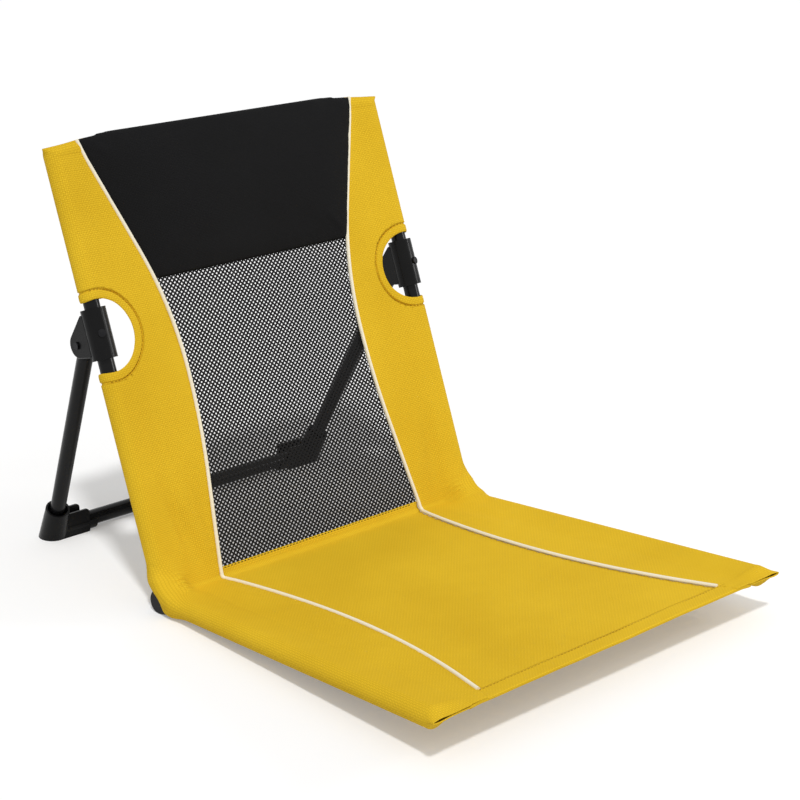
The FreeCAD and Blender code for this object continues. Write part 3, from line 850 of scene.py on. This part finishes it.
bands = {}
for name, side in sides:
    bm = lay_grid(band_last, len(band_rows) - 1, lambda i, j: band_place(i, band_rows[j][0] * mm),
                  lambda i, j: band_point(side, i, j))
    face_towards(bm, back_front)
    bands[name], area = make_sheet("cutout_hem_" + name, bm, yellow_cloth)
    bands[name].data.set_sharp_from_angle(angle=band_sharp)
    print(bands[name].name, "area", round(area, 4), "faces", len(bands[name].data.polygons))

# %% [markdown]
# Between the seams lies the seat panel. It starts just above the crease, where it is sewn to the
# net, and ends at the front hem. The sitter's weight has left it a few millimetres slack in its
# middle, and the crease at the corner is as sharp as the piping makes it.

# %% Seat panel
panel_top = 14.0 * mm
panel_columns = 70
panel_sag = 3.0 * mm
ripple_height = 0.5 * mm
ripple_zone = 22.0 * mm
panel_front = seat_length - 1.0 * mm
panel_rows = stacked((-panel_front, -corner_zone, 4 * mm), (-corner_zone, panel_top, 1.5 * mm))


def panel_x(i, j):
    return (2 * i / panel_columns - 1) * (seam_x(panel_rows[j]) - seam_gap)


def panel_place(i, j):
    along = panel_rows[j]
    x = panel_x(i, j)
    share = abs(2 * i / panel_columns - 1)
    hollow = panel_sag * (1 - share * share) * sin(pi * min(1.0, max(0.0, -along / seat_length)))
    lift = slack(x, along) * (1 - share) - hollow + pucker(seam_x(along) - seam_gap - abs(x), along)
    ripple = ripple_height * hump(along, 0.0, ripple_zone) * wander(x * 45, along * 20, 5.5)
    return cover_point(x, along, lift + ripple, crease_round)


bm = lay_grid(panel_columns, len(panel_rows) - 1, lambda i, j: (panel_x(i, j), panel_rows[j]), panel_place)
face_towards(bm, seat_top)
seat_panel, panel_area = make_sheet("cover_seat_panel", bm, yellow_cloth)
print(seat_panel.name, "area", round(panel_area, 4))

# %% [markdown]
# The front edge is bound by a hem: a band that lies on the cloth, turns round the edge and runs
# back below it. It is laid as a narrow grid whose section is two straights and a half round. Its
# ends sink into the side strips, whose own hems carry it on over the sleeves.

# %% Front hem
hem_round = 1.4 * mm
hem_thick = 0.6 * mm
hem_columns = 130
hem_overlap = 2.0 * mm
hem_wave = 0.8 * mm
hem_sunk = 1.1 * mm
hem_sunk_zone = 14.0 * mm
hem_lift = 0.8 * mm
hem_lift_zone = 1.5 * mm
hem_bite = 0.1 * mm
hem_section = [(-front_hem_depth + front_hem_depth * k / 8, 0.0) for k in range(9)]
hem_section += [(hem_round * sin(pi * k / 8), hem_round * (cos(pi * k / 8) - 1))
                for k in range(1, 8)]
hem_section += [(-front_hem_depth * k / 6, -2 * hem_round) for k in range(7)]
hem_run = run_lengths(hem_section)


def hem_place(i, j):
    out, level = hem_section[j]
    along = -(seat_length - hem_round + out)
    half = tube_x(along) - sleeve_seam + hem_overlap
    x = half * (2 * i / hem_columns - 1)
    wave = hem_wave * wander(x * 22, 0.4, 2.2)
    sunk = hem_sunk * ease(abs(x), half - hem_sunk_zone, half)
    top = hem_lift * ease(out, -front_hem_depth, hem_lift_zone - front_hem_depth) - hem_bite
    return cover_point(x, along, level + (top if level > -hem_round else 0.0) + wave - sunk, crease_round)


bm = lay_grid(hem_columns, len(hem_section) - 1,
              lambda i, j: (tube_x(-seat_length) * (2 * i / hem_columns - 1), hem_run[j]), hem_place)
face_towards(bm, seat_out)
front_hem, hem_area = make_sheet("cover_front_hem", bm, yellow_cloth, hem_thick)
print(front_hem.name, "cut", round(hem_run[-1] / mm, 1), "mm deep, area", round(hem_area, 4))

# %% [markdown]
# The net has about five thousand small holes in a staggered pattern. A see-through texture could
# fake them, but real holes hold up from close by: a grid of squares stands on its corners, every
# square is inset and its middle deleted, and what is left gets a little thickness.

# %% Net
net_cell = 3.7 * mm
net_strand = 0.88 * mm
net_thick = 0.6 * mm
net_low = 11.0 * mm
net_high = 312.0 * mm
net_bow = 2.5 * mm
net_behind = 1.2 * mm
net_slack = 0.4
net_count = 130
net_merge = 0.05 * mm


def net_place(x, along):
    share = min(1.0, abs(x) / seam_x(along))
    rise = (along - net_low) / (net_high - net_low)
    bow = net_bow * (1 - share * share) * sin(pi * min(1.0, max(0.0, rise)))
    return cover_point(x, along, -net_behind - bow + net_slack * slack(x, along), crease_round)


def in_net(point):
    return net_low < point.y < net_high and abs(point.x) < seam_x(point.y)


bm = bmesh.new()
bmesh.ops.create_grid(bm, x_segments=net_count, y_segments=net_count, size=net_count * net_cell / 2)
turn = Matrix.Translation((0, (net_low + net_high) / 2, 0)) @ Matrix.Rotation(radians(45), 4, "Z")
bmesh.ops.transform(bm, matrix=turn, verts=bm.verts)
outside = [f for f in bm.faces if not in_net(f.calc_center_median())]
bmesh.ops.delete(bm, geom=outside, context="FACES")
for vert in bm.verts:
    vert.co.y = min(max(vert.co.y, net_low), net_high)
    vert.co.x = max(-seam_x(vert.co.y), min(seam_x(vert.co.y), vert.co.x))
bmesh.ops.dissolve_degenerate(bm, dist=net_merge, edges=bm.edges)
strands = bmesh.ops.inset_individual(bm, faces=bm.faces[:], thickness=net_strand, use_even_offset=True)
holes = [f for f in bm.faces if f not in set(strands["faces"])]
print("net holes", len(holes))
bmesh.ops.delete(bm, geom=holes, context="FACES_ONLY")
for vert in bm.verts:
    vert.co = net_place(vert.co.x, vert.co.y)
face_towards(bm, back_front)
net, net_area = make_sheet("back_net", bm, black_net, net_thick)
net_triangles = sum(len(p.vertices) - 2 for p in net.data.polygons)
print(net.name, "strands", round(net_area, 4), "triangles", net_triangles)

# %% [markdown]
# The headrest is a foam pad in a sewn black cover, held between the piping and standing a finger's
# width before the net. A closed form a little flatter than the pad is remeshed to even quads and
# blown up by a short cloth simulation with its rim pinned, which gives it a real crown and rim.

# %% Headrest pad
pad_low = 305.0 * mm
pad_high = 455.5 * mm
pad_columns = 80
pad_rows = 40
pad_depth = 5.5 * mm
pad_front = 1.6 * mm
pad_rear = 3.4 * mm
pad_dip = 3.2 * mm
pad_dip_from = 0.74
pad_rounds = (0.12, 0.24)
pad_overlap = 0.9 * mm
pad_voxel = 3.0 * mm


def pad_edge(i, j):
    """How far a point of the pad is from its outline, 0 at the rim and 1 well inside."""
    u = 1 - abs(2 * i / pad_columns - 1)
    v = 1 - abs(2 * j / pad_rows - 1)
    return sqrt(ease(u, 0, pad_rounds[0]) * ease(v, 0, pad_rounds[1]))


def pad_place(i, j):
    share = 2 * i / pad_columns - 1
    dip = pad_dip * ease(abs(share), pad_dip_from, 1.0)
    along = pad_low + (pad_high - dip - pad_low) * j / pad_rows
    half = seam_x(along) + pad_overlap
    return cover_point(share * half, along, pad_front + pad_depth * pad_edge(i, j), crease_round)


bm = lay_grid(pad_columns, pad_rows, lambda i, j: (i, j), pad_place)
face_towards(bm, back_front)
rear = bmesh.ops.extrude_face_region(bm, geom=bm.faces[:])
for vert in (v for v in rear["geom"] if isinstance(v, bmesh.types.BMVert)):
    before = (vert.co - corner).dot(back_front) - cloth_front
    vert.co -= back_front * (before + pad_rear)
bmesh.ops.recalc_face_normals(bm, faces=bm.faces[:])
headrest = new_piece("headrest_pad", bm, black_cloth)
remesh = headrest.modifiers.new("even quads", "REMESH")
remesh.mode = "VOXEL"
remesh.voxel_size = pad_voxel
apply_modifiers(headrest)
print(headrest.name, "quads before the simulation", len(headrest.data.polygons))

# %% [markdown]
# The simulation runs for twenty frames without gravity. The rear and the rim are pinned, so only
# the front swells. No point may end up further than a cap from where it began, which keeps the pad
# in the space of its foam.

# %% Blow the pad up
pad_rim = 5.0 * mm
pad_cap = 6.0 * mm
pad_pressure = 4.0
pad_stiffness = 12.0
pad_bending = 0.4
pad_frames = 20


def back_place(point):
    """A point's place across, up the back and before the cover's plane."""
    away = point - corner
    return away.x, away.dot(back_up), away.dot(back_front) - cloth_front


def pad_margin(x, along):
    """How far a point of the pad is inside its outline."""
    return min(seam_x(along) - abs(x), along - pad_low, pad_high - along)


def pad_held(point):
    x, along, before = back_place(point)
    return before < 0.0 or pad_margin(x, along) < pad_rim


at_rest = [v.co.copy() for v in headrest.data.vertices]
pins = headrest.vertex_groups.new(name="pins")
pins.add([v.index for v in headrest.data.vertices if pad_held(v.co)], 1.0, "REPLACE")
cloth = headrest.modifiers.new("pressure", "CLOTH")
cloth.settings.vertex_group_mass = "pins"
cloth.settings.use_pressure = True
cloth.settings.uniform_pressure_force = pad_pressure
cloth.settings.effector_weights.gravity = 0.0
cloth.settings.quality = 5
cloth.settings.tension_stiffness = pad_stiffness
cloth.settings.compression_stiffness = pad_stiffness
cloth.settings.bending_stiffness = pad_bending
cloth.collision_settings.use_collision = False
for step in range(1, pad_frames + 1):
    bpy.context.scene.frame_set(step)
apply_modifiers(headrest)
bpy.context.scene.frame_set(1)
most = 0.0
for vert, start in zip(headrest.data.vertices, at_rest):
    moved = vert.co - start
    if moved.length > pad_cap:
        vert.co = start + moved.normalized() * pad_cap
    most = max(most, moved.length)
print("pad swelled by", round(most / mm, 2), "mm at most")

# %% [markdown]
# The pad's cover gets what sewing does to it: short wrinkles run in from the rim, where it is drawn
# together. Then one subdivision smooths it, and its UV map is written from its place on the back,
# so that the weave runs straight across the pad.

# %% Finish the pad
wrinkle_height = 1.2 * mm
wrinkle_reach = 16.0 * mm
bm = bmesh.new()
bm.from_mesh(headrest.data)
for vert in bm.verts:
    x, along, before = back_place(vert.co)
    if before > 0:
        near = exp(-max(0.0, pad_margin(x, along)) / wrinkle_reach)
        vert.co += back_front * (wrinkle_height * near * wander(x * 55, along * 55, 0.9))
bm.to_mesh(headrest.data)
bm.free()
soften = headrest.modifiers.new("smooth", "SUBSURF")
soften.levels = soften.render_levels = 1
apply_modifiers(headrest)
cut = headrest.data.uv_layers.new(name="cloth")
for loop in headrest.data.loops:
    cut.data[loop.index].uv = back_place(headrest.data.vertices[loop.vertex_index].co)[:2]
headrest.data.shade_smooth()
tops = [back_place(v.co) for v in headrest.data.vertices]
print(headrest.name, "faces", len(headrest.data.polygons), "top", round(max(t[1] for t in tops) / mm, 1),
      "crown", round(max(t[2] for t in tops) / mm, 1), "mm")

# %% [markdown]
# Behind the pad a plain black lining closes the headrest. It is a flat sheet between the seams,
# and its face looks to the rear.

# %% Headrest lining
lining_columns = 40
lining_steps = 24
lining_behind = 4.0 * mm
lining_thick = 0.8 * mm
lining_gap = 0.3 * mm
lining_slack = 0.5
lining_shift = 0.5
lining_rows = [pad_low + (back_length - pad_low) * k / lining_steps for k in range(lining_steps + 1)]


def lining_x(i, j):
    return (2 * i / lining_columns - 1) * (seam_x(lining_rows[j]) - lining_gap)


def lining_place(i, j):
    x, along = lining_x(i, j), lining_rows[j]
    wave = lining_slack * slack(x, along + lining_shift)
    return cover_point(x, along, -lining_behind + wave, crease_round)


bm = lay_grid(lining_columns, lining_steps, lambda i, j: (lining_x(i, j), lining_rows[j]), lining_place)
face_towards(bm, back_front)
bmesh.ops.reverse_faces(bm, faces=bm.faces[:])
lining, lining_area = make_sheet("headrest_lining_sheet", bm, black_cloth, lining_thick)
print(lining.name, "area", round(lining_area, 4))

# %% [markdown]
# Piping is a cord sewn into a folded tape, and it stands half out of the seam. A curve with a round
# bevel makes it: its points follow the seam, and the curve is turned into a mesh so that it can
# bend with the cover at the corner.

# %% Piping
piping_radius = 1.95 * mm
piping_lift = 0.7 * mm
piping_rise = 4.0 * mm
piping_short = 0.5 * mm
piping_end = seat_length - front_hem_depth - piping_short
piping_rows = stacked((-piping_end, -corner_zone, 8 * mm), (-corner_zone, corner_zone, 2 * mm),
                      (corner_zone, back_length, 8 * mm))
piping_rows[-1] -= piping_short


def piping_point(side, along):
    rise = piping_rise * ease(along, back_length - top_zone, back_length)
    return cover_point(side * seam_x(along), along + rise, piping_lift, crease_round)


def round_cord(name, points, radius, material):
    line = bpy.data.curves.new(name, "CURVE")
    line.dimensions = "3D"
    line.bevel_depth = radius
    line.bevel_resolution = 3
    line.use_fill_caps = True
    spline = line.splines.new("POLY")
    spline.points.add(len(points) - 1)
    for knot, point in zip(spline.points, points):
        knot.co = (*point, 1.0)
    shell = bpy.data.objects.new(name + "_line", line)
    mesh = bpy.data.meshes.new_from_object(shell)
    bpy.data.objects.remove(shell)
    mesh.name = name
    mesh.shade_smooth()
    mesh.materials.clear()
    mesh.materials.append(material)
    return add_object(name, mesh)


pipings = {}
for name, side in sides:
    run = [piping_point(side, along) for along in piping_rows]
    pipings[name] = round_cord("piping_" + name, run, piping_radius, cream_tape)
print("piping faces", [len(p.data.polygons) for p in pipings.values()])

# %% [markdown]
# Seams read as seams through their stitches. Each is a small bead of thread, an icosphere of twenty
# faces stretched along the row and pressed into the cloth. One function sews a row along a line of
# points. The rows on the back, on the seat and beside the crease are kept apart, because they move
# with different bodies, and so are the hems, because of their darker thread, which is partly
# painted shade along the sewn hems.

# %% Stitches
stitch_pitch = 4.2 * mm
stitch_half = Vector((1.45 * mm, 0.42 * mm, 0.38 * mm))
sleeve_sewn = -1.5 * mm
hem_sewn = seat_length - front_hem_depth + 1.8 * mm
top_sewn = back_length - top_hem + 1.6 * mm
net_sewn = panel_top - 1.2 * mm
hinge_clear = 54.0 * mm
hole_clear = 17.0 * mm
crown_clear = 4.0 * mm
band_clear = 5.0 * mm
top_inner = 3.0 * mm
front_inner = -8.0 * mm
front_clear = 10.0 * mm
net_clear = 4.0 * mm
seams = {"sleeve_back": ("back", yellow_thread, "yellow_cloth"),
         "sleeve_seat": ("seat", yellow_thread, "yellow_cloth"),
         "hems_back": ("back", ochre_thread_and_groove_shade, "yellow_cloth"),
         "hem_seat": ("seat", ochre_thread_and_groove_shade, "yellow_cloth"),
         "net_edge": (None, black_net, "black_net")}
sewn = {name: bmesh.new() for name in seams}


def sew(name, points, out):
    """Stitches along a line of points, on a cloth that faces the way out."""
    left = stitch_pitch / 2
    for start, end in zip(points, points[1:]):
        x_axis = (end - start).normalized()
        y_axis = out.cross(x_axis).normalized()
        turn = Matrix((x_axis, y_axis, x_axis.cross(y_axis))).transposed().to_4x4()
        run = (end - start).length
        while left < run:
            turn.translation = start + x_axis * left
            bead = turn @ Matrix.Diagonal((*stitch_half, 1))
            bmesh.ops.create_icosphere(sewn[name], subdivisions=1, radius=1.0, matrix=bead)
            left += stitch_pitch
        left -= run


def sew_sleeve(name, side, low, high, out):
    rows = steps(low, high, 4 * mm)
    sew(name, [strip_point(side, sleeve_sewn, along, 0.1 * mm) for along in rows], out)


def sew_hem(name, side, inner, along, out):
    columns = steps(inner, crown + crown_clear, 3 * mm)
    sew(name, [strip_point(side, w, along, 0.15 * mm) for w in columns], out)


def sew_across(name, half, along, lift, out):
    columns = steps(-half, half, 6 * mm)
    sew(name, [cover_point(x, along, lift, crease_round) for x in columns], out)


def band_stitch(side, k):
    w, along = band_place(k, band_sewn)
    return strip_point(side, w, along, (0.25 - 0.85 * groove(w)) * mm)


before_tube = [k for k in range(len(band_edge)) if band_edge[k][0] < crown + band_clear]
for _, side in sides:
    sew_sleeve("sleeve_back", side, hinge_clear, cutout_along - hole_clear, back_front)
    sew_sleeve("sleeve_back", side, cutout_along + hole_clear, top_sewn, back_front)
    sew_sleeve("sleeve_seat", side, -hinge_clear, -hem_sewn, seat_top)
    sew("hems_back", [band_stitch(side, k) for k in before_tube], back_front)
    sew_hem("hems_back", side, seam_x(top_sewn) + top_inner - half_width + sleeve_seam, top_sewn, back_front)
    sew_hem("hem_seat", side, front_inner, -hem_sewn, seat_top)
sew_across("hem_seat", tube_x(-hem_sewn) - sleeve_seam - front_clear, -hem_sewn, 0.85 * mm, seat_top)
sew_across("net_edge", seam_x(net_sewn) - net_clear, net_sewn, 0.2 * mm, back_front)
stitches = {name: new_piece("stitches_" + name, bm, seams[name][1]) for name, bm in sewn.items()}
print("stitches", {name: len(s.data.polygons) // 20 for name, s in stitches.items()})

# %% [markdown]
# Now each piece is attached to the body that it moves with, and the CAD parts that the soft pieces
# replace are hidden. The strips, the seat panel, the piping and the stitches at the net's edge cross
# the corner, so they keep their baked place and ride on no body; the rest rides on one body.

# %% Bodies and sheets
for name, (strip, area) in strips.items():
    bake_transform(strip)
    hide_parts("back_side_panel_" + name, "seat_side_panel_" + name)
    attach(bands[name], "back")
for name, piping in pipings.items():
    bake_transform(piping)
    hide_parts("back_piping_" + name, "seat_piping_" + name)
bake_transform(seat_panel)
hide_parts("seat_centre_panel", "back_lower_strip")
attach(front_hem, "seat")
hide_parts("seat_front_hem")
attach(net, "back")
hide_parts("mesh_panel")
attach(headrest, "back")
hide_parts("headrest_cover", "headrest_foam")
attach(lining, "back")
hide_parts("headrest_lining")
for name, (body, _, slot) in seams.items():
    if body:
        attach(stitches[name], body)
    else:
        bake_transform(stitches[name])
print("sheets", len(strips) + 3, "other soft pieces", len(bands) + len(pipings) + len(stitches) + 2)

# %% [markdown]
# The studio is a pale floor without an edge in view. To the camera and to glossy surfaces it glows
# a little, so that it comes out white where it is fully lit, and it still takes the chair's shadow.

# %% Floor and world
floor_half = 14.0
floor_glow = 0.24
fill_level = 0.52


def seen_directly(tree):
    """1 for what the camera sees itself, in a mirror or through glass, and 0 for lighting rays."""
    path = add_node(tree, "ShaderNodeLightPath").outputs
    mirrored = maths(tree, "MAXIMUM", path["Is Glossy Ray"], path["Is Transmission Ray"])
    return maths(tree, "MAXIMUM", path["Is Camera Ray"], mirrored)


bm = bmesh.new()
bmesh.ops.create_grid(bm, x_segments=1, y_segments=1, size=floor_half)
floor_material, tree, shader = new_material("pale_floor")
glow = maths(tree, "MULTIPLY", seen_directly(tree), floor_glow)
set_inputs(tree, shader, {"Base Color": (0.78, 0.78, 0.78, 1), "Roughness": 0.9, "Specular IOR Level": 0.0,
                          "Emission Color": (1, 1, 1, 1), "Emission Strength": glow})
floor = new_piece("floor", bm, floor_material)
floor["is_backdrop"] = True

world = bpy.data.worlds.new("studio")
world.use_nodes = True
tree = world.node_tree
level = maths(tree, "MULTIPLY_ADD", seen_directly(tree), 1.0 - fill_level, fill_level)
set_inputs(tree, tree.nodes["Background"], {"Color": (1, 1, 1, 1), "Strength": level})
bpy.context.scene.world = world
bpy.context.scene.view_settings.view_transform = "Standard"
print("fill light", fill_level)

# %% [markdown]
# The key light comes from above the camera, like a large lamp far off: a sun with a soft edge, so
# that the floor is lit evenly and the chair's shadow keeps a readable outline. A soft box at the
# right makes that side a little brighter and draws a highlight along the black tubes.

# %% Lamps
lamp_target = Vector((0, 0, 0.15))


def aimed_lamp(name, kind, place, energy):
    light = bpy.data.lights.new(name, kind)
    light.energy = energy
    lamp = add_object(name, light)
    lamp.location = place
    lamp.rotation_euler = (lamp_target - place).to_track_quat("-Z", "Y").to_euler()
    return light


key_light = aimed_lamp("key light", "SUN", Vector((-0.75, -1.1, 2.5)), energy=1.68)
key_light.angle = radians(5)
softbox = aimed_lamp("side softbox", "AREA", Vector((1.3, -0.8, 0.62)), energy=4.2)
softbox.size = 0.3
print("lamps", key_light.name, softbox.name)

# %% [markdown]
# The camera stands where the photograph was taken from. Azimuth, elevation and distance were fitted
# to the corners of seat and back and to the feet; the lens follows from the picture's width.

# %% Camera
view_azimuth = radians(-42.7)
view_elevation = radians(18.4)
view_distance = 2.1117
view_target = Vector((0.1071, corner.y, 0.1459))
toward = Vector((sin(view_azimuth) * cos(view_elevation),
                 -cos(view_azimuth) * cos(view_elevation), sin(view_elevation)))
eye = bpy.data.cameras.new("photo view")
eye.sensor_width = 36.0
eye.lens = 91.09
camera = add_object("photo view", eye)
camera.location = view_target + toward * view_distance
camera.rotation_euler = (-toward).to_track_quat("-Z", "Y").to_euler()
bpy.context.scene.camera = camera
print("camera at", [round(c, 3) for c in camera.location])

# %% Compare the boxes and finish
dressed_box = [list(corner_point) for corner_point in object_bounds()]
for end, cad, dressed in zip(("low", "high"), cad_box, dressed_box):
    print(end, "corner moved by", [round((b - a) / mm, 1) for a, b in zip(cad, dressed)], "mm")
